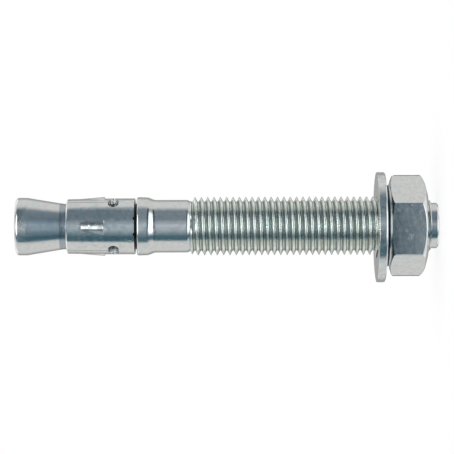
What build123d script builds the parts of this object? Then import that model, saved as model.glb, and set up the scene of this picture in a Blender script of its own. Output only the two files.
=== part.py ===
from build123d import *
import os
from math import sqrt

# A torque-controlled wedge anchor: a forged and rolled stud with its expansion clip, washer and hex nut.
# It stands on the tip that the hammer strikes, at z = 0, with its axis on Z and its leading cone on top.
# The front, towards -Y, shows a flat of the nut and the middle lug of the clip. The clip's seam is behind.

# ---------------------------------------------------------------------------------------------------
# Driving dimensions, in millimetres and degrees
# ---------------------------------------------------------------------------------------------------

# Stud: plain tip and thread
tip_diameter = 12.45
tip_length = 2.1
tip_chamfer = 0.45
thread_diameter = 16.0
thread_depth = 1.25
thread_length = 65.7
thread_run_in = 0.7              # cone at each end of the thread

# Stud: plain shank, and the collar that pushes the clip into the hole
shank_diameter = 14.4
shank_length = 9.7
shank_end_fall = 0.35            # drop of the shank's edge where the thread begins
shank_end_length = 0.7
shoulder_length = 1.7            # fall from the collar to the shank
collar_diameter = 16.0
collar_land = 3.1
collar_chamfer = 0.3

# Stud: neck under the clip
neck_diameter = 12.44
clip_end_play = 0.5              # bare neck between the collar and the clip
neck_lead = 0.85                 # bare neck between the clip and the taper

# Stud: leading cone
taper_length = 10.0
cone_diameter = 15.75
cone_land = 3.1                  # straight length behind the leading end
cone_edge_radius = 0.95

# Expansion clip: a strip of sheet steel wrapped round the neck
clip_length = 18.7
clip_sheet = 1.36                # sheet thickness, away from the thinned end
clip_lead_sheet = 1.16           # thickness at the leading edge, which the cone enters first
clip_lead_length = 12.0          # how far the thinning reaches back
clip_lead_chamfer = 0.35
clip_tail_chamfer = 0.15
clip_seam = 1.4                  # gap between the two ends of the strip
seam_angle = 180.0

slot_angles = (-60.0, 60.0)      # slots that let the clip open into leaves
slot_width = 0.3
relief_position = 12.85          # from the clip's leading edge to the middle of the relief holes
relief_length = 2.9              # along the anchor
relief_width = 4.4               # round the clip

lug_angles = (-90.0, 0.0, 90.0)
lug_position = 3.9               # from the clip's leading edge to the toe
lug_length = 6.45
lug_bite = 0.08                  # how far the heel stands beyond the collar
lug_crest_width = 2.7
lug_foot_width = 4.5
lug_toe_width = 2.3

tongue_half_angle = 16.5         # between the tongue's middle and each of its two nicks
nick_radius = 0.5

# Washer
washer_diameter = 30.2
washer_thickness = 2.25
washer_rolled_edge = 0.4         # on the side that meets the nut
washer_clearance = 0.5           # round the thread
washer_contact_gap = 0.07        # left on the side where the loose washer lies against the thread

# Hex nut
nut_across_flats = 24.0
nut_turn = -4.6                  # how far round the nut stands, from a flat square to the front
nut_height = 11.51
nut_setback = 0.9                # from the end of the thread to the nut
nut_corner_radius = 0.35
nut_countersink = 0.65
nut_face_diameter = 22.2         # raised ring that bears on the washer
nut_face_height = 1.2
nut_bearing_chamfer = 0.9        # length of the chamfer over the corners, behind that ring
nut_outer_land = 0.6             # flat ring round the countersink, on the outer side
nut_outer_chamfer = 1.65         # length of the chamfer over the corners, on that side

# Clearances between pieces that turn on each other
clip_clearance = 0.08
nut_clearance = 0.05

# ---------------------------------------------------------------------------------------------------
# Heights and radii, all worked out from the dimensions above
# ---------------------------------------------------------------------------------------------------

thread_low = tip_length
thread_high = thread_low + thread_length
shank_high = thread_high + shank_length
collar_low = shank_high + shoulder_length
collar_high = collar_low + collar_land
clip_low = collar_high + clip_end_play
clip_high = clip_low + clip_length
taper_low = clip_high + neck_lead
taper_high = taper_low + taper_length
leading_end = taper_high + cone_land

nut_low = thread_low + nut_setback
nut_high = nut_low + nut_height

tip_radius = tip_diameter / 2
thread_radius = thread_diameter / 2
root_radius = thread_radius - thread_depth
shank_radius = shank_diameter / 2
collar_radius = collar_diameter / 2
neck_radius = neck_diameter / 2
cone_radius = cone_diameter / 2

clip_bore_radius = neck_radius + clip_clearance
clip_radius = clip_bore_radius + clip_sheet
clip_edge_radius = clip_bore_radius + clip_lead_sheet
lug_heel_radius = collar_radius + lug_bite

nut_bore_radius = thread_radius + nut_clearance
nut_corner = nut_across_flats / sqrt(3)
nut_face_radius = nut_face_diameter / 2
nut_mouth_radius = nut_bore_radius + nut_countersink


def facing(angle):
    """Upright plane through the axis. Its normal leaves the anchor at this angle from the front."""
    return Plane.XZ.rotated((0, 0, angle))


# ---------------------------------------------------------------------------------------------------
# Stud: one bar, cold forged and thread rolled. The thread is drawn at its crests.
# ---------------------------------------------------------------------------------------------------

with BuildPart() as stud:
    with BuildSketch(Plane.XZ):
        with BuildLine():
            Polyline(
                (0, 0),
                (tip_radius - tip_chamfer, 0),
                (tip_radius, tip_chamfer),
                (tip_radius, thread_low),
                (root_radius, thread_low),
                (thread_radius, thread_low + thread_run_in),
                (thread_radius, thread_high - thread_run_in),
                (root_radius, thread_high),
                (shank_radius - shank_end_fall, thread_high),
                (shank_radius, thread_high + shank_end_length),
                (shank_radius, shank_high),
                (collar_radius, collar_low),
                (collar_radius, collar_high - collar_chamfer),
                (collar_radius - collar_chamfer, collar_high),
                (neck_radius, collar_high),
                (neck_radius, taper_low),
                (cone_radius, taper_high),
                (cone_radius, leading_end),
                (0, leading_end),
                close=True,
            )
        make_face()
    revolve(axis=Axis.Z)
    leading_rim = stud.edges().filter_by(GeomType.CIRCLE).sort_by(Axis.Z)[-1]
    fillet(leading_rim, radius=cone_edge_radius)

# ---------------------------------------------------------------------------------------------------
# Expansion clip: wrapped strip with an open seam, relief holes, slots, gripping lugs and a tongue
# ---------------------------------------------------------------------------------------------------

thinning_start = clip_high - clip_lead_length
relief_height = clip_high - relief_position
lug_toe_height = clip_high - lug_position
lug_heel_height = lug_toe_height - lug_length
lug_foot_radius = clip_bore_radius + clip_lead_sheet / 2

with BuildPart() as expansion_clip:
    with BuildSketch(Plane.YZ):
        with BuildLine():
            Polyline(
                (clip_bore_radius, clip_low),
                (clip_radius - clip_tail_chamfer, clip_low),
                (clip_radius, clip_low + clip_tail_chamfer),
                (clip_radius, thinning_start),
                (clip_edge_radius, clip_high - clip_lead_chamfer),
                (clip_edge_radius - clip_lead_chamfer, clip_high),
                (clip_bore_radius, clip_high),
                close=True,
            )
        make_face()
    revolve(axis=Axis.Z)

    # A lug is a ramp: flush with the sheet at its toe, steep at its heel, with sloping flanks.
    lug_sections = (
        (lug_toe_height, lug_toe_width, lug_toe_width, clip_edge_radius),
        (lug_heel_height, lug_foot_width, lug_crest_width, lug_heel_radius),
    )
    for angle in lug_angles:
        for height, foot_width, crest_width, crest_radius in lug_sections:
            crest_edge = sqrt(crest_radius**2 - (crest_width / 2) ** 2)
            with BuildSketch(Plane.XY.offset(height).rotated((0, 0, angle))):
                with BuildLine():
                    foot = Polyline(
                        (crest_width / 2, -crest_edge),
                        (foot_width / 2, -lug_foot_radius),
                        (-foot_width / 2, -lug_foot_radius),
                        (-crest_width / 2, -crest_edge),
                    )
                    ThreePointArc(foot @ 1, (0, -crest_radius), foot @ 0)
                make_face()
        loft(ruled=True)

    for angle in slot_angles:
        with BuildSketch(facing(angle)):
            with Locations((0, relief_height)):
                SlotOverall(relief_width, relief_length)
            with Locations((0, clip_high)):
                Rectangle(slot_width, 2 * relief_position)
        extrude(amount=collar_diameter, mode=Mode.SUBTRACT)

    with BuildSketch(facing(seam_angle)):
        with Locations((0, clip_low)):
            Rectangle(clip_seam, 2 * clip_length + clip_seam)
    extrude(amount=collar_diameter, mode=Mode.SUBTRACT)

    for angle in (-tongue_half_angle, tongue_half_angle):
        with BuildSketch(facing(angle)):
            with Locations((0, clip_low)):
                Circle(nick_radius)
        extrude(amount=collar_diameter, mode=Mode.SUBTRACT)

# ---------------------------------------------------------------------------------------------------
# Washer: punched ring, lying on the nut and loose on the thread, which it touches on one side
# ---------------------------------------------------------------------------------------------------

washer_bore_radius = thread_radius + washer_clearance
washer_shift = washer_clearance - washer_contact_gap

with BuildPart() as washer:
    with BuildSketch(Plane.XY.offset(nut_high)):
        with Locations((-washer_shift, 0)):
            Circle(washer_diameter / 2)
            Circle(washer_bore_radius, mode=Mode.SUBTRACT)
    extrude(amount=washer_thickness)
    rolled_rim = washer.faces().sort_by(Axis.Z)[0].outer_wire().edges()
    chamfer(rolled_rim, length=washer_rolled_edge)

# ---------------------------------------------------------------------------------------------------
# Hex nut: cold formed, with a raised bearing face, chamfered corners and a countersink at both mouths
# ---------------------------------------------------------------------------------------------------

with BuildPart() as hex_nut:
    with BuildSketch(Plane.XY.offset(nut_low)):
        nut_outline = RegularPolygon(nut_across_flats / 2, 6, major_radius=False, rotation=nut_turn)
        fillet(nut_outline.vertices(), radius=nut_corner_radius)
    extrude(amount=nut_height)

    with BuildSketch(Plane.XZ):
        with BuildLine():
            Polyline(
                (0, nut_low),
                (nut_mouth_radius + nut_outer_land, nut_low),
                (nut_corner, nut_low + nut_outer_chamfer),
                (nut_corner, nut_high - nut_face_height - nut_bearing_chamfer),
                (nut_face_radius, nut_high - nut_face_height),
                (nut_face_radius, nut_high),
                (0, nut_high),
                close=True,
            )
        make_face()
    revolve(axis=Axis.Z, mode=Mode.INTERSECT)

    with BuildSketch(Plane.XY.offset(nut_low)):
        Circle(nut_bore_radius)
    extrude(amount=nut_height, mode=Mode.SUBTRACT)
    bore = hex_nut.faces().filter_by(GeomType.CYLINDER).sort_by(SortBy.AREA)[-1]
    chamfer(bore.edges().filter_by(GeomType.CIRCLE), length=nut_countersink)

# ---------------------------------------------------------------------------------------------------
# Write one file for each piece
# ---------------------------------------------------------------------------------------------------

stud.part.label = "stud"
expansion_clip.part.label = "expansion_clip"
washer.part.label = "washer"
hex_nut.part.label = "hex_nut"

os.makedirs("parts", exist_ok=True)
export_step(stud.part, "parts/stud.step")
export_step(expansion_clip.part, "parts/expansion_clip.step")
export_step(washer.part, "parts/washer.step")
export_step(hex_nut.part, "parts/hex_nut.step")
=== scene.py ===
"""Looks of a zinc-plated wedge anchor, which stands on its tip with its leading cone on top."""

from math import cos, pi, radians, sin, tau

import bmesh
import bpy
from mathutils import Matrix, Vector


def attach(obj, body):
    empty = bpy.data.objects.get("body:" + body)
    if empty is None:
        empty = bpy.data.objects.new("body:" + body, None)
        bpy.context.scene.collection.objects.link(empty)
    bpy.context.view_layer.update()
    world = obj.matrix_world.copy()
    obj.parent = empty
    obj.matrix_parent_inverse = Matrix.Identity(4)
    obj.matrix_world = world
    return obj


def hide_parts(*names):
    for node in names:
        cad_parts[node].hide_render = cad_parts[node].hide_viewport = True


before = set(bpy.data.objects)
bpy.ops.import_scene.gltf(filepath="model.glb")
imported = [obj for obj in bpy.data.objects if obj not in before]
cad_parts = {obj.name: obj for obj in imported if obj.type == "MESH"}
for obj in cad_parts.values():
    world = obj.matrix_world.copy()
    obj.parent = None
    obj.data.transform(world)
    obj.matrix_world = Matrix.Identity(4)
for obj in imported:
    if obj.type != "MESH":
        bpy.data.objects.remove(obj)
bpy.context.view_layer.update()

# ---------------------------------------------------------------------------------------------------
# Camera
# It stands square on to the clip's middle lug, and is rolled a quarter turn, so that the leading cone
# is at the left of the picture and +X is up.
# ---------------------------------------------------------------------------------------------------

MM = 0.001

VIEW_DISTANCE = 640 * MM
VIEW_HEIGHT = 57.7 * MM
VIEW_SIDE = -0.25 * MM
VIEW_ROLL = radians(90.16)
LENS = 185.2

camera_data = bpy.data.cameras.new("camera")
camera_data.sensor_width = 36.0
camera_data.lens = LENS
camera_data.clip_start = 0.01
camera_data.clip_end = 20.0
camera = bpy.data.objects.new("camera", camera_data)
camera.location = (VIEW_SIDE, -VIEW_DISTANCE, VIEW_HEIGHT)
camera.rotation_euler = (radians(90), VIEW_ROLL, 0)
bpy.context.scene.collection.objects.link(camera)
bpy.context.scene.camera = camera
bpy.context.scene.view_settings.view_transform = "Standard"

# ---------------------------------------------------------------------------------------------------
# Studio
# White all round for the camera. The metal mirrors a tent of cloth instead, with pale walls and a dim front
# that has a lighter strip and a navy edge. Panels hang before the front, and lamps shine through the cloth.
# ---------------------------------------------------------------------------------------------------


class Wire:
    """One socket of a material's nodes. Arithmetic on it adds Math nodes, and node() adds any other."""

    def __init__(self, tree, socket=None):
        self.tree = tree
        self.socket = socket

    def node(self, kind, settings=None, inputs=None, output=0):
        """Adds one node: its settings, a ramp's stops among them, then its sockets' values or links."""
        made = self.tree.nodes.new(kind)
        for name, value in (settings or {}).items():
            if name == "stops":
                made.color_ramp.elements.remove(made.color_ramp.elements[1])
                made.color_ramp.elements[0].position = value[0][0]
                for place, colour in value[1:]:
                    made.color_ramp.elements.new(place)
                for element, (place, colour) in zip(made.color_ramp.elements, value):
                    element.color = (*colour, 1)
            else:
                setattr(made, name, value)
        for key, value in (inputs or {}).items():
            if isinstance(value, Wire):
                self.tree.links.new(value.socket, made.inputs[key])
            else:
                made.inputs[key].default_value = value
        return Wire(self.tree, made.outputs[output] if made.outputs else None)

    def math(self, operation, *values):
        return self.node("ShaderNodeMath", {"operation": operation}, dict(enumerate(values)))

    def __add__(self, other):
        return self.math("ADD", self, other)

    def __radd__(self, other):
        return self.math("ADD", other, self)

    def __sub__(self, other):
        return self.math("SUBTRACT", self, other)

    def __rsub__(self, other):
        return self.math("SUBTRACT", other, self)

    def __mul__(self, other):
        return self.math("MULTIPLY", self, other)

    def __rmul__(self, other):
        return self.math("MULTIPLY", other, self)

    def __truediv__(self, other):
        return self.math("DIVIDE", self, other)

    def __pow__(self, other):
        return self.math("POWER", self, other)


def new_material(name):
    material = bpy.data.materials.new(name)
    material.use_nodes = True
    material.node_tree.nodes.clear()
    return material, Wire(material.node_tree)


WELD = 0.0005                    # points nearer than this are one
SHARP = radians(30)              # least turn of a sharp edge


def show(name, mesh, material, unit=MM):
    """Makes an object of a finished bmesh: smooth, but for the edges where its faces turn sharply."""
    bmesh.ops.scale(mesh, vec=(unit, unit, unit), verts=mesh.verts)
    data = bpy.data.meshes.new(name)
    mesh.to_mesh(data)
    mesh.free()
    data.shade_smooth()
    data.set_sharp_from_angle(angle=SHARP)
    data.materials.append(material)
    piece = bpy.data.objects.new(name, data)
    bpy.context.scene.collection.objects.link(piece)
    flatter = piece.modifiers.new("flatter", "WEIGHTED_NORMAL")
    flatter.keep_sharp = True
    return piece


WHITE = (1.0, 1.0, 1.0)
AMBIENT = 0.75

world = bpy.data.worlds.new("studio")
bpy.context.scene.world = world
world.use_nodes = True
world.node_tree.nodes.clear()
air = Wire(world.node_tree)


def seen_ray(wire):
    """1 for rays that look at the background, straight or in metal or glass, and 0 for those that light."""
    camera_ray, glossy_ray, glass_ray = (wire.node("ShaderNodeLightPath", output=name) for name in
                                         ("Is Camera Ray", "Is Glossy Ray", "Is Transmission Ray"))
    seen = camera_ray + glossy_ray + glass_ray
    return seen.math("MINIMUM", seen, 1.0)


strength = AMBIENT + (1.0 - AMBIENT) * seen_ray(air)
light = air.node("ShaderNodeBackground", inputs={"Color": (*WHITE, 1), "Strength": strength})
air.node("ShaderNodeOutputWorld", inputs={"Surface": light})

STAGE_STEPS = 96                 # to a turn of the tent and of the floor
TENT_RADIUS = 0.9                # in metres, as the tent's other lengths are
TENT_HALF_HEIGHT = 3.0
TENT_LEVEL = 0.77                # how bright the cloths are
BACK = (0.5, 0.5, 0.5)
WALL = (0.9, 0.9, 0.9)
NAVY = (0.1, 0.2, 0.25)          # along the lower edge of the front
STRIP = (0.7, 0.75, 0.8)         # down the front's middle
FRONT_CLOTH = (0.3, 0.35, 0.4)
# The cloths by turn, in degrees from the front, towards -X below nought and towards +X above it.
CLOTHS = (
    (-180, BACK), (-145, BACK), (-130, WALL), (-72, WALL), (-62, NAVY), (-45, NAVY), (-10, STRIP), (5, STRIP),
    (30, FRONT_CLOTH), (70, FRONT_CLOTH), (90, WALL), (130, WALL), (145, BACK), (180, BACK),
)
# Panels hung before the front: from and to a turn, from and to a rise, all in degrees, how soft the edges
# are along the turn and the rise, and how much of each colour they let through.
PANELS = (
    (-68, 75, -14, -6.2, 6, 0.6, (0.45, 0.6, 0.7)),
    (-34, -1, -4.7, 1.4, 6, 0.2, (0.1, 0.15, 0.2)),
    (-40, 62, -3.2, -1.2, 6, 0.3, (0.4, 0.5, 0.5)),
    (-8, 82, -26, -13, 8, 1.5, (0.1, 0.1, 0.1)),
    (-64, 88, 7.4, 11.8, 6, 0.4, (0.6, 0.7, 0.75)),
    (-45, 75, 14.0, 24.0, 6, 0.6, (0.15, 0.2, 0.25)),
)
# Lamps behind the cloth, given in the same way, with their brightness.
LAMPS = (
    (-30, 45, 23.5, 46, 14, 0.6, 4.0),
    (-14, 1, 18, 26, 4, 0.6, 1.5),
    (-62, -36, 15, 24, 14, 0.6, 0.30),
    (-34, 66, -85, -28, 14, 0.6, 1.3),
    (120, 200, -62, -32, 14, 3, 0.5),
    (-200, -120, -62, -32, 14, 3, 0.5),
    (120, 200, 20, 60, 14, 3, 0.5),
    (-200, -120, 20, 60, 14, 3, 0.5),
)
FOLDS = (36, 3, 0.6)             # soft folds in the front: how many to a metre, their detail and roughness
FOLD_SHADES = ((0.34, (0.52, 0.62, 0.70)), (0.50, (0.98, 1.00, 1.00)), (0.66, (1.34, 1.28, 1.24)))
FRONT = (-80, 80, 6)             # from and to a turn, and how soft its edges are


def axes(place):
    """The three coordinates of a place."""
    return [place.node("ShaderNodeSeparateXYZ", inputs={"Vector": place}, output=axis) for axis in "XYZ"]


def ramp(value, stops):
    """Turns a value into a colour, by stops of a value and a colour each."""
    return value.node("ShaderNodeValToRGB", {"stops": stops}, {"Fac": value})


def blend(kind, share, under, over):
    """Lays one colour over another, by a share that may vary."""
    settings = {"data_type": "RGBA", "blend_type": kind}
    return under.node("ShaderNodeMix", settings, {0: share, 6: under, 7: over}, 2)


def noise(place, scale, detail=2, rough=0.5):
    """Cloudy noise from 0 to 1, with this many clouds to a unit of length."""
    return place.node("ShaderNodeTexNoise", inputs={"Vector": place, "Scale": scale, "Detail": detail,
                                                    "Roughness": rough})


def between(value, low, high):
    """Runs from 0 to 1 as the value goes from low to high."""
    return value.node("ShaderNodeMapRange", {"interpolation_type": "SMOOTHSTEP"},
                      {"Value": value, "From Min": low, "From Max": high})


def within(value, low, high, softness):
    """1 inside a span and 0 outside, with soft ends."""
    return (between(value, low - softness, low + softness)
            * (1 - between(value, high - softness, high + softness)))


cloth, wire = new_material("tent_cloth")
place = wire.node("ShaderNodeTexCoord", output="Object")
across, depth, height = axes(place)
turn = across.math("ARCTAN2", across, depth * -1.0) * (360 / tau)
rise = height.math("ARCTAN2", height, TENT_RADIUS) * (360 / tau)
colour = ramp(turn / 360 + 0.5, [(0.5 + degrees / 360, shade) for degrees, shade in CLOTHS])
colour = colour.node("ShaderNodeVectorMath", {"operation": "SCALE"}, {0: colour, "Scale": TENT_LEVEL})


def patch(low_turn, high_turn, low_rise, high_rise, turn_softness, rise_softness):
    """1 inside a stretch of the tent and 0 outside it."""
    return within(turn, low_turn, high_turn, turn_softness) * within(rise, low_rise, high_rise, rise_softness)


for *stretch, tint in PANELS:
    colour = blend("MULTIPLY", patch(*stretch), colour, (*tint, 1))
for *stretch, brightness in LAMPS:
    lamp = patch(*stretch) * brightness
    colour = colour.node("ShaderNodeVectorMath", {"operation": "ADD"}, {0: colour, 1: lamp})
colour = blend("MULTIPLY", within(turn, *FRONT), colour, ramp(noise(place, *FOLDS), FOLD_SHADES))
glow = colour.node("ShaderNodeEmission", inputs={"Color": colour, "Strength": 1.0})
glow.node("ShaderNodeOutputMaterial", inputs={"Surface": glow})

tent_mesh = bmesh.new()
bmesh.ops.create_cone(tent_mesh, cap_ends=False, segments=STAGE_STEPS, radius1=TENT_RADIUS,
                      radius2=TENT_RADIUS, depth=2 * TENT_HALF_HEIGHT)
tent = show("tent", tent_mesh, cloth, unit=1)
tent.visible_camera = False
tent.visible_diffuse = False
tent.visible_shadow = False

# ---------------------------------------------------------------------------------------------------
# Floor
# A small pale disc of paper under the tip. It takes the anchor's soft shadow, and fades into the white
# round it. The metal doesn't mirror it.
# ---------------------------------------------------------------------------------------------------

FLOOR_RADIUS = 36
FLOOR_FADE = 18                  # radius where it starts to fade
FLOOR_PAINT = (0.20, 0.20, 0.20)
FLOOR_GLOW = 0.84                # makes up what the paint lacks of white, to the camera

paper, wire = new_material("floor_paper")
place = wire.node("ShaderNodeTexCoord", output="Object")
reach = place.node("ShaderNodeVectorMath", {"operation": "LENGTH"}, {0: place}, "Value")
fade = reach.node("ShaderNodeMapRange", inputs={"Value": reach / MM, "From Min": FLOOR_FADE,
                                                "From Max": FLOOR_RADIUS})
seen = seen_ray(wire)
shaded = wire.node("ShaderNodeBsdfDiffuse", inputs={"Color": (*FLOOR_PAINT, 1)})
lit = wire.node("ShaderNodeEmission", inputs={"Color": (*WHITE, 1), "Strength": seen * FLOOR_GLOW})
both = wire.node("ShaderNodeAddShader", inputs={0: shaded, 1: lit})
plain = wire.node("ShaderNodeEmission", inputs={"Color": (*WHITE, 1), "Strength": seen})
mixed = wire.node("ShaderNodeMixShader", inputs={0: fade, 1: both, 2: plain})
mixed.node("ShaderNodeOutputMaterial", inputs={"Surface": mixed})

floor_mesh = bmesh.new()
bmesh.ops.create_circle(floor_mesh, cap_ends=True, segments=STAGE_STEPS, radius=FLOOR_RADIUS)
floor = show("floor", floor_mesh, paper)
floor.visible_glossy = False

# ---------------------------------------------------------------------------------------------------
# Stud
# One steel bar, cold forged and thread rolled, then zinc plated. From the floor up it has a plain tip,
# a right-hand thread, a plain shank, the collar that pushes the clip, a neck and the leading cone.
# ---------------------------------------------------------------------------------------------------

ROUND_STEPS = 120                # to a turn of the plain shapes
ROUNDING_STEPS = 5

TIP_RADIUS = 6.225
TIP_HEIGHT = 2.1
TIP_CHAMFER = 0.45
TIP_ROUNDING = 0.12

PITCH = 1.74
CREST_RADIUS = 8.0
ROOT_RADIUS = 6.75
CREST_FLAT = 0.16
CREST_ROUNDING = 0.06
ROOT_POINT = 6.39                # radius where the flanks would meet, under the rounded root
ROOT_ROUNDING = 0.6
THREAD_TOP = 67.8
THREAD_RUN_IN = 0.7
CREST_HEIGHT = 66.46             # of the last crest on the +X side
THREAD_STEPS = 72                # to a turn
SPARE_TURNS = 2                  # made past each end and cut off

SHADED_FLANK = (0.28, 0.44)              # painted shade, dark as in shadow, on the flank towards the nut and the root: from a crest, in turns
SHADED_FLANK_SOFTNESS = 0.05
SHADED_FLANK_COLOUR = (0.20, 0.24, 0.24)
SHADED_FLANK_ROUGHNESS = 0.1
THREAD_ROUGHNESS = 0.24
THREAD_TINT = (1.12, 1.14, 1.10)
THREAD_FADE = 0.2                # softness of the finish's change at the thread's ends
THREAD_IRONING = 0.8             # share of the bumps that rolling presses out

SHANK_RADIUS = 7.2
SHANK_FALL = 0.35                # the shank's edge drops by this much towards the thread
SHANK_FALL_LENGTH = 0.7
SHANK_FALL_ROUNDING = 0.3
SHANK_TOP = 77.5
SHANK_TOP_ROUNDING = 0.5
COLLAR_LOW = 79.2
COLLAR_LOW_ROUNDING = 0.4
COLLAR_TOP = 82.3
COLLAR_RADIUS = 8.0
COLLAR_FALL = 0.09               # the collar narrows by this much towards the shank
COLLAR_EDGE = 0.3
COLLAR_EDGE_LENGTH = 0.35
COLLAR_EDGE_ROUNDING = 0.15
COLLAR_TOP_ROUNDING = 0.1
NECK_RADIUS = 6.22
NECK_ROUNDING = 0.2
CONE_LOW = 102.35
CONE_LOW_ROUNDING = 0.5
CONE_HIGH = 112.35
CONE_HIGH_ROUNDING = 0.08
CONE_RADIUS = 7.875
STUD_TOP = 115.45
STUD_TOP_ROUNDING = 0.95

ZINC = (0.80, 0.81, 0.80)
TINTS = ((0.30, (0.95, 1.00, 1.03)), (0.45, (1.00, 1.01, 0.99)), (0.55, (1.02, 0.99, 0.98)),
         (0.66, (0.99, 1.01, 1.00)))
MOTTLES = ((0.36, (0.66, 0.78, 0.86)), (0.47, (0.94, 0.96, 0.97)), (0.55, (1.00, 1.00, 1.00)),
           (0.66, (1.14, 1.13, 1.10)))
# Patterns of the finish: how many clouds to a millimetre, then their detail and roughness.
TINT_CLOUDS = (0.4, 3)
MOTTLE_CLOUDS = (0.8, 4, 0.6)
GRAIN_CLOUDS = (3.2, 3, 0.6)
DULL_CLOUDS = (0.5,)
DENT_CLOUDS = (0.9, 2, 0.6)
WAVE_CLOUDS = (0.3, 1)
RIPPLE_CLOUDS = (0.9,)
PLATE_CLOUDS = (2.4, 3, 0.7)
DULL = (0.45, 0.75)              # the clouds between these values are dulled
DULLING = 0.05
DENTED = (0.60, 0.78)            # and between these dented
RIPPLE = 0.35                    # height of the ripples, as a share of the waves'
GRAIN_HEIGHT = 0.004
GRAIN_DULLING = 0.08

# Stretches near the axis: the radius they stay within, from and to a height, then a colour and a roughness.
SHADED_NECK_UNDER_CLIP = (7.95, 82.12, 100.5)             # painted shade: the neck under the clip is painted near black, as the deep shade there
SHADED_NECK_SOFTNESS = (0.05, 0.02)                 # across the radius and at the ends
NECK_SHADE_BLACK = (0.03, 0.035, 0.04)
SHADED_NECK_BY_CONE = (6.45, 101.0, 103.4, (0.46, 0.51, 0.54), 0.2)      # painted shade on the neck between the clip and the cone, with its own roughness
CORE_SOFTNESS = (0.1, 0.1)


def near_axis(reach, up, radius, low, high, side_softness, end_softness):
    """1 on what is nearer to the axis than a radius and between two heights, and 0 elsewhere."""
    return within(up, low, high, end_softness) * (1 - between(reach, radius - side_softness, radius))


def plating(name, roughness, waviness, dents, mottle, coarse=0.0, rolled=False, core=None):
    """Bright zinc, faintly tinted, mottled, and dented by handling. The stud is rolled, with painted shade on
    its thread.
    A core is a stretch near the axis with its own colour and roughness. Coarse is the height of a rough
    plate's bumps."""
    material, wire = new_material(name)
    place = wire.node("ShaderNodeTexCoord", output="Object")
    place = place.node("ShaderNodeVectorMath", {"operation": "SCALE"}, {0: place, "Scale": 1 / MM})
    across, depth, up = axes(place)
    reach = (across * across + depth * depth) ** 0.5
    colour = blend("MULTIPLY", 1.0, ramp(noise(place, *TINT_CLOUDS), TINTS), (*ZINC, 1))
    colour = blend("MULTIPLY", mottle, colour, ramp(noise(place, *MOTTLE_CLOUDS), MOTTLES))
    grain = noise(place, *GRAIN_CLOUDS)
    dulled = DULLING * between(noise(place, *DULL_CLOUDS), *DULL)
    rough = roughness + dulled + GRAIN_DULLING * (grain - 0.5)
    waves = noise(place, *WAVE_CLOUDS) + RIPPLE * noise(place, *RIPPLE_CLOUDS)
    bruise = between(noise(place, *DENT_CLOUDS), *DENTED)
    height = waviness * waves + GRAIN_HEIGHT * grain - dents * bruise
    if coarse:
        height = height + coarse * noise(place, *PLATE_CLOUDS)
    if rolled:
        turns = (CREST_HEIGHT - up) / PITCH + depth.math("ARCTAN2", depth, across) / tau
        thread = within(up, TIP_HEIGHT, THREAD_TOP, THREAD_FADE)
        # painted shade: the thread's flank towards the nut and its root are painted dark, and made smoother
        flank_shade = thread * within(turns.math("FRACT", turns), *SHADED_FLANK, SHADED_FLANK_SOFTNESS)
        smooth = THREAD_ROUGHNESS - (THREAD_ROUGHNESS - SHADED_FLANK_ROUGHNESS) * flank_shade
        rough = rough * (1 - thread) + thread * smooth
        colour = blend("MULTIPLY", thread, colour, (*THREAD_TINT, 1))
        colour = blend("MIX", flank_shade, colour, (*SHADED_FLANK_COLOUR, 1))
        height = height * (1 - THREAD_IRONING * thread)
        # painted shade: near black on the neck under the clip and on the collar's end
        colour = blend("MIX", near_axis(reach, up, *SHADED_NECK_UNDER_CLIP, *SHADED_NECK_SOFTNESS), colour, (*NECK_SHADE_BLACK, 1))
    # a core's colour is painted shade, or for the clip's walls partly painted light
    if core:
        *stretch, core_colour, core_roughness = core
        inside = near_axis(reach, up, *stretch, *CORE_SOFTNESS)
        rough = rough * (1 - inside) + core_roughness * inside
        colour = blend("MIX", inside, colour, (*core_colour, 1))
    bump = height.node("ShaderNodeBump", inputs={"Strength": 1.0, "Distance": MM, "Height": height})
    shader = wire.node("ShaderNodeBsdfPrincipled", inputs={
        "Base Color": colour, "Metallic": 1.0, "Roughness": rough, "Normal": bump})
    shader.node("ShaderNodeOutputMaterial", inputs={"Surface": shader})
    return material


def draw(mesh, points):
    """Draws a line of (radius, height) points. A third number rounds the corner, from that far away."""
    corners = [mesh.verts.new((radius, 0, height)) for radius, height, *_ in points]
    for pair in zip(corners, corners[1:]):
        mesh.edges.new(pair)
    for corner, (_, _, *rounding) in zip(corners, points):
        if rounding:
            bmesh.ops.bevel(mesh, geom=[corner], offset=rounding[0], affect="VERTICES",
                            segments=ROUNDING_STEPS, profile=0.5, material=-1)


def turned(points):
    """A shape turned about Z from a line of points."""
    mesh = bmesh.new()
    draw(mesh, points)
    bmesh.ops.spin(mesh, geom=mesh.verts[:] + mesh.edges[:], axis=(0, 0, 1), cent=(0, 0, 0), angle=tau,
                   steps=ROUND_STEPS, use_merge=True)
    bmesh.ops.remove_doubles(mesh, verts=mesh.verts, dist=WELD)
    return mesh


def cut(mesh, point, normal, **options):
    """Divides a mesh's faces along a plane."""
    return bmesh.ops.bisect_plane(mesh, geom=mesh.verts[:] + mesh.edges[:] + mesh.faces[:], dist=WELD,
                                  plane_co=point, plane_no=normal, **options)


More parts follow.
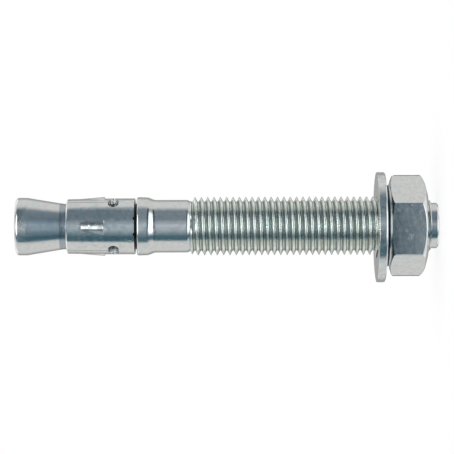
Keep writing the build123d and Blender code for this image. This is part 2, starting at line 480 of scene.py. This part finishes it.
def threaded(low, high, clearance=0.0):
    """The rolled thread's surface between two heights, in one right-hand helix."""
    mesh = bmesh.new()
    start = CREST_HEIGHT - (int((CREST_HEIGHT - low) / PITCH) + SPARE_TURNS) * PITCH
    draw(mesh, (
        (CREST_RADIUS + clearance, start),
        (CREST_RADIUS + clearance, start + CREST_FLAT / 2, CREST_ROUNDING),
        (ROOT_POINT + clearance, start + PITCH / 2, ROOT_ROUNDING),
        (CREST_RADIUS + clearance, start + PITCH - CREST_FLAT / 2, CREST_ROUNDING),
        (CREST_RADIUS + clearance, start + PITCH),
    ))
    bmesh.ops.spin(mesh, geom=mesh.verts[:] + mesh.edges[:], axis=(0, 0, 1), cent=(0, 0, 0),
                   angle=tau, steps=THREAD_STEPS, dvec=(0, 0, PITCH / THREAD_STEPS))
    first_turn = mesh.verts[:] + mesh.edges[:] + mesh.faces[:]
    for turn in range(1, int((high - low) / PITCH) + 2 * SPARE_TURNS):
        copied = bmesh.ops.duplicate(mesh, geom=first_turn)["geom"]
        bmesh.ops.translate(mesh, vec=(0, 0, turn * PITCH),
                            verts=[item for item in copied if isinstance(item, bmesh.types.BMVert)])
    bmesh.ops.remove_doubles(mesh, verts=mesh.verts, dist=WELD)
    cut(mesh, (0, 0, low), (0, 0, -1), clear_outer=True)
    cut(mesh, (0, 0, high), (0, 0, 1), clear_outer=True)
    return mesh


def join(mesh, other):
    """Adds another bmesh to this one."""
    data = bpy.data.meshes.new("joined")
    other.to_mesh(data)
    other.free()
    mesh.from_mesh(data)
    bpy.data.meshes.remove(data)


def close_ring(mesh, height):
    """Fills the flat ring between the open edges at one height."""
    rim = [edge for edge in mesh.edges if edge.is_boundary
           and all(abs(vert.co.z - height) < WELD for vert in edge.verts)]
    bmesh.ops.triangle_fill(mesh, edges=rim, use_beauty=True, normal=(0, 0, 1))


stud_mesh = threaded(TIP_HEIGHT, THREAD_TOP)
for vert in stud_mesh.verts:
    inside = min(vert.co.z - TIP_HEIGHT, THREAD_TOP - vert.co.z)
    limit = ROOT_RADIUS + (CREST_RADIUS - ROOT_RADIUS) * inside / THREAD_RUN_IN
    vert.co.xy *= min(1.0, limit / vert.co.xy.length)

join(stud_mesh, turned((
    (0, 0),
    (TIP_RADIUS - TIP_CHAMFER, 0, TIP_ROUNDING),
    (TIP_RADIUS, TIP_CHAMFER, TIP_ROUNDING),
    (TIP_RADIUS, TIP_HEIGHT),
)))
join(stud_mesh, turned((
    (SHANK_RADIUS - SHANK_FALL, THREAD_TOP),
    (SHANK_RADIUS, THREAD_TOP + SHANK_FALL_LENGTH, SHANK_FALL_ROUNDING),
    (SHANK_RADIUS, SHANK_TOP, SHANK_TOP_ROUNDING),
    (COLLAR_RADIUS - COLLAR_FALL, COLLAR_LOW, COLLAR_LOW_ROUNDING),
    (COLLAR_RADIUS, COLLAR_TOP - COLLAR_EDGE_LENGTH, COLLAR_EDGE_ROUNDING),
    (COLLAR_RADIUS - COLLAR_EDGE, COLLAR_TOP, COLLAR_TOP_ROUNDING),
    (NECK_RADIUS, COLLAR_TOP, NECK_ROUNDING),
    (NECK_RADIUS, CONE_LOW, CONE_LOW_ROUNDING),
    (CONE_RADIUS, CONE_HIGH, CONE_HIGH_ROUNDING),
    (CONE_RADIUS, STUD_TOP, STUD_TOP_ROUNDING),
    (0, STUD_TOP),
)))
close_ring(stud_mesh, TIP_HEIGHT)
close_ring(stud_mesh, THREAD_TOP)
bmesh.ops.recalc_face_normals(stud_mesh, faces=stud_mesh.faces)

# the stud's neck carries painted shade under the clip and beside the cone
stud_zinc = plating("stud_zinc", roughness=0.14, waviness=0.02, dents=0.015, mottle=0.25, rolled=True,
                    core=SHADED_NECK_BY_CONE)
stud = show("stud_plated", stud_mesh, stud_zinc)
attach(stud, "stud")
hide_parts("stud")

# ---------------------------------------------------------------------------------------------------
# Expansion clip
# Sheet steel, punched flat with its slots, relief holes and nicks, and thinned towards the cone. It is
# rolled round the neck with an open seam behind, and pressed out into three ramps that grip the hole.
# It is zinc plated, and its sheared walls are rougher than its face, and painted lighter as if lit.
# ---------------------------------------------------------------------------------------------------

CLIP_LOW = 82.8
CLIP_HIGH = 101.5
CLIP_BORE = 6.3
SHEET = 1.36
SHEET_AT_CONE = 1.16
THINNING_FROM = 89.5
CONE_EDGE = 0.35                 # corners taken off at its two ends
TAIL_EDGE = 0.15
SEAM = 1.4
SLOT_TURN = radians(60)
SLOT = 0.15
HOLE_HEIGHT = 88.65
HOLE_LONG = 2.9
HOLE_ROUND = 4.4
HOLE_STEPS = 7
NICK_TURN = radians(16.5)
NICK = 0.5

LUG_TURNS = (radians(-90), 0.0, radians(90))
LUG_TOE = 97.6
LUG_HEEL = 91.15
LUG_STEP = 0.1                   # height over which the heel drops to the sheet
LUG_RIDGE = -0.2                 # the flat crest's place beside the lug's middle, round the clip
LUG_FLAT = 0.75                  # half the crest's width
LUG_FOOT_UP = 1.6                # foot of the flank towards +X
LUG_FOOT_TOE = -0.9              # foot of the other flank, at the toe
LUG_FOOT_HEEL = -2.6             # and at the heel
LUG_CREST = 8.08
GRID_TURN = radians(2)           # the blank is divided this finely, so that it can be bent
GRID_HEIGHT = 0.36
GRID_WELD = 0.01
SHEARED_AND_LIT_WALLS = (7.3, CLIP_LOW, CLIP_HIGH, (0.86, 0.88, 0.88), 0.36)     # walls of its holes, slots and seam: rougher where sheared, and painted lighter as painted light

sheet_radius = CLIP_BORE + SHEET
half_wrap = pi * sheet_radius - SEAM / 2


def keyhole(turn):
    """A slot from the leading edge to its relief hole, as points of the blank's outline."""
    middle = turn * sheet_radius
    low, high = HOLE_HEIGHT - HOLE_LONG / 2, HOLE_HEIGHT + HOLE_LONG / 2
    rounding = HOLE_LONG / 2 - 2 * WELD
    return [(middle + SLOT / 2, CLIP_HIGH), (middle + SLOT / 2, high),
            (middle + HOLE_ROUND / 2, high, rounding), (middle + HOLE_ROUND / 2, low, rounding),
            (middle - HOLE_ROUND / 2, low, rounding), (middle - HOLE_ROUND / 2, high, rounding),
            (middle - SLOT / 2, high), (middle - SLOT / 2, CLIP_HIGH)]


def nick(turn):
    """A round nick in the tail edge, as points of the blank's outline."""
    middle, rounding = turn * sheet_radius, NICK - 2 * WELD
    return [(middle - NICK, CLIP_LOW), (middle - NICK, CLIP_LOW + NICK, rounding),
            (middle + NICK, CLIP_LOW + NICK, rounding), (middle + NICK, CLIP_LOW)]


outline = ([(-half_wrap, CLIP_LOW)] + nick(-NICK_TURN) + nick(NICK_TURN)
           + [(half_wrap, CLIP_LOW), (half_wrap, CLIP_HIGH)] + keyhole(SLOT_TURN) + keyhole(-SLOT_TURN)
           + [(-half_wrap, CLIP_HIGH)])
clip_mesh = bmesh.new()
corners = [clip_mesh.verts.new((way, height, 0)) for way, height, *_ in outline]
clip_mesh.faces.new(corners)
for corner, (_, _, *rounding) in zip(corners, outline):
    if rounding:
        bmesh.ops.bevel(clip_mesh, geom=[corner], offset=rounding[0], affect="VERTICES",
                        segments=HOLE_STEPS, profile=0.5, material=-1)
columns = int(half_wrap / sheet_radius / GRID_TURN)
for column in range(-columns, columns + 1):
    cut(clip_mesh, (column * GRID_TURN * sheet_radius, 0, 0), (1, 0, 0))
rows = int((CLIP_HIGH - CLIP_LOW) / GRID_HEIGHT)
for row in range(1, rows):
    cut(clip_mesh, (0, CLIP_LOW + row * (CLIP_HIGH - CLIP_LOW) / rows, 0), (0, 1, 0))
for height in (CLIP_LOW + TAIL_EDGE, LUG_HEEL - LUG_STEP, LUG_HEEL, CLIP_HIGH - CONE_EDGE):
    cut(clip_mesh, (0, height, 0), (0, 1, 0))
bmesh.ops.remove_doubles(clip_mesh, verts=clip_mesh.verts, dist=GRID_WELD)
bmesh.ops.solidify(clip_mesh, geom=clip_mesh.faces[:], thickness=SHEET)
bmesh.ops.recalc_face_normals(clip_mesh, faces=clip_mesh.faces)
top = max(vert.co.z for vert in clip_mesh.verts)
bmesh.ops.translate(clip_mesh, vec=(0, 0, SHEET - top), verts=clip_mesh.verts)


def sheet_at(height):
    """The sheet's thickness at a height: thinned towards the cone, with its corners taken off."""
    thinning_length = CLIP_HIGH - CONE_EDGE - THINNING_FROM
    thinned = SHEET + (SHEET_AT_CONE - SHEET) * (height - THINNING_FROM) / thinning_length
    thinned = min(SHEET, max(thinned, SHEET_AT_CONE))
    return thinned - max(0.0, height - CLIP_HIGH + CONE_EDGE) - max(0.0, CLIP_LOW + TAIL_EDGE - height)


def lug_at(turn, height):
    """How far a lug stands out of the sheet: an even ramp, flat along its crest, with sloping flanks."""
    along = min(max((LUG_TOE - height) / (LUG_TOE - LUG_HEEL), 0.0), 1.0)
    crest = (LUG_CREST - CLIP_BORE - sheet_at(LUG_HEEL)) * along
    crest *= min(1.0, max(0.0, (height - LUG_HEEL + LUG_STEP) / LUG_STEP))
    foot = LUG_FOOT_TOE + (LUG_FOOT_HEEL - LUG_FOOT_TOE) * along
    most = 0.0
    for lug_turn in LUG_TURNS:
        across = (turn - lug_turn) * sheet_radius - LUG_RIDGE
        edge = LUG_FOOT_UP - LUG_RIDGE if across > 0 else LUG_RIDGE - foot
        most = max(most, crest * min(1.0, (edge - abs(across)) / (edge - LUG_FLAT)))
    return most


for vert in clip_mesh.verts:
    way, height, outer = vert.co
    turn = way / sheet_radius
    radius = CLIP_BORE + outer * sheet_at(height) / SHEET
    if outer > SHEET / 2:
        radius += lug_at(turn, height)
    vert.co = (radius * sin(turn), -radius * cos(turn), height)

bmesh.ops.recalc_face_normals(clip_mesh, faces=clip_mesh.faces)

clip_zinc = plating("clip_zinc", roughness=0.13, waviness=0.03, dents=0.02, mottle=0.4, core=SHEARED_AND_LIT_WALLS)
clip = show("clip_plated", clip_mesh, clip_zinc)
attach(clip, "clip")
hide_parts("expansion_clip")

# ---------------------------------------------------------------------------------------------------
# Washer
# Punched from rough steel plate, with its edges rolled over on the side that meets the nut, then zinc
# plated. It lies on the nut, and is loose enough on the thread to hang to one side.
# ---------------------------------------------------------------------------------------------------

WASHER_LOW = 14.51
WASHER_THICK = 2.25
WASHER_RADIUS = 15.09
WASHER_BORE = 8.5
WASHER_SHIFT = 0.43              # how far it hangs to one side
WASHER_START = 15.51             # height where its outline starts and ends, in the bore
RIM_ROLL = 0.5
BORE_ROLL = 0.25
UPPER_ROLL = 0.12

washer_mesh = turned((
    (WASHER_BORE, WASHER_START),
    (WASHER_BORE, WASHER_LOW, BORE_ROLL),
    (WASHER_RADIUS, WASHER_LOW, RIM_ROLL),
    (WASHER_RADIUS, WASHER_LOW + WASHER_THICK, UPPER_ROLL),
    (WASHER_BORE, WASHER_LOW + WASHER_THICK, UPPER_ROLL),
    (WASHER_BORE, WASHER_START),
))
bmesh.ops.translate(washer_mesh, vec=(-WASHER_SHIFT, 0, 0), verts=washer_mesh.verts)
bmesh.ops.recalc_face_normals(washer_mesh, faces=washer_mesh.faces)

washer_zinc = plating("washer_zinc", roughness=0.16, waviness=0.02, dents=0.02, mottle=0.7, coarse=0.015)
washer = show("washer_plated", washer_mesh, washer_zinc)
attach(washer, "washer")
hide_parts("washer")

# ---------------------------------------------------------------------------------------------------
# Hex nut
# Cold formed from steel wire and tapped, then zinc plated. A raised ring bears on the washer, its seat
# painted near black as shade. Chamfers cut the corners at both ends, and the outer one is crowned.
# ---------------------------------------------------------------------------------------------------

NUT_LOW = 3.0
NUT_HIGH = 14.51
NUT_FLAT = 12.0
NUT_TURN = radians(-4.6)
NUT_CORNER = NUT_FLAT / cos(pi / 6)
NUT_MOUTH = 8.7
NUT_LAND = 0.6
NUT_FACE = 11.1
NUT_FACE_ROUNDING = 0.25
NUT_FACE_HEIGHT = 1.2
NUT_FACE_FOOT = 0.15
NUT_BEARING_CHAMFER = 2.2        # height where the corners begin to fall, from the nut's end
NUT_OUTER_CHAMFER = 1.85
NUT_CROWN_RADIUS = 12.4          # the outer chamfer's crown, and how high it is on the nut
NUT_CROWN_HEIGHT = 0.85
NUT_CROWN_ROUNDING = 0.9
NUT_SHARP = radians(12)          # least turn of the edges that are rounded
NUT_ROUNDING = 0.2
NUT_ROUNDING_STEPS = 3
# painted shade: the raised ring's seat against the washer is painted near black
NUT_SEAT_SHADE = (11.35, 13.6, 14.6, (0.04, 0.06, 0.08), 0.2)
THREAD_CLEARANCE = 0.06

nut_mesh = turned((
    (NUT_MOUTH + NUT_LAND, NUT_LOW),
    (NUT_CROWN_RADIUS, NUT_LOW + NUT_CROWN_HEIGHT, NUT_CROWN_ROUNDING),
    (NUT_CORNER, NUT_LOW + NUT_OUTER_CHAMFER),
    (NUT_CORNER, NUT_HIGH - NUT_BEARING_CHAMFER),
    (NUT_FACE, NUT_HIGH - NUT_FACE_HEIGHT, NUT_FACE_FOOT),
    (NUT_FACE, NUT_HIGH, NUT_FACE_ROUNDING),
    (NUT_MOUTH + NUT_LAND, NUT_HIGH),
))
for flat in range(6):
    turn = flat * pi / 3 + NUT_TURN
    outward = Vector((sin(turn), -cos(turn), 0))
    made = cut(nut_mesh, outward * NUT_FLAT, outward, clear_outer=True)
    bmesh.ops.edgeloop_fill(nut_mesh, edges=[item for item in made["geom_cut"]
                                             if isinstance(item, bmesh.types.BMEdge)])
sharp = [edge for edge in nut_mesh.edges
         if len(edge.link_faces) == 2 and edge.calc_face_angle() > NUT_SHARP
         and max(vert.co.xy.length for vert in edge.verts) > NUT_FLAT - WELD]
bmesh.ops.bevel(nut_mesh, geom=sharp, offset=NUT_ROUNDING, affect="EDGES", segments=NUT_ROUNDING_STEPS,
                profile=0.5, material=-1)
tapped = threaded(NUT_LOW, NUT_HIGH, THREAD_CLEARANCE)
for vert in tapped.verts:
    inside = min(vert.co.z - NUT_LOW, NUT_HIGH - vert.co.z)
    vert.co.xy *= max(1.0, (NUT_MOUTH - inside) / vert.co.xy.length)
join(nut_mesh, tapped)
close_ring(nut_mesh, NUT_LOW)
close_ring(nut_mesh, NUT_HIGH)
bmesh.ops.recalc_face_normals(nut_mesh, faces=nut_mesh.faces)

nut_zinc = plating("nut_zinc", roughness=0.11, waviness=0.012, dents=0.02, mottle=0.35, core=NUT_SEAT_SHADE)
nut = show("nut_plated", nut_mesh, nut_zinc)
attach(nut, "nut")
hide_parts("hex_nut")
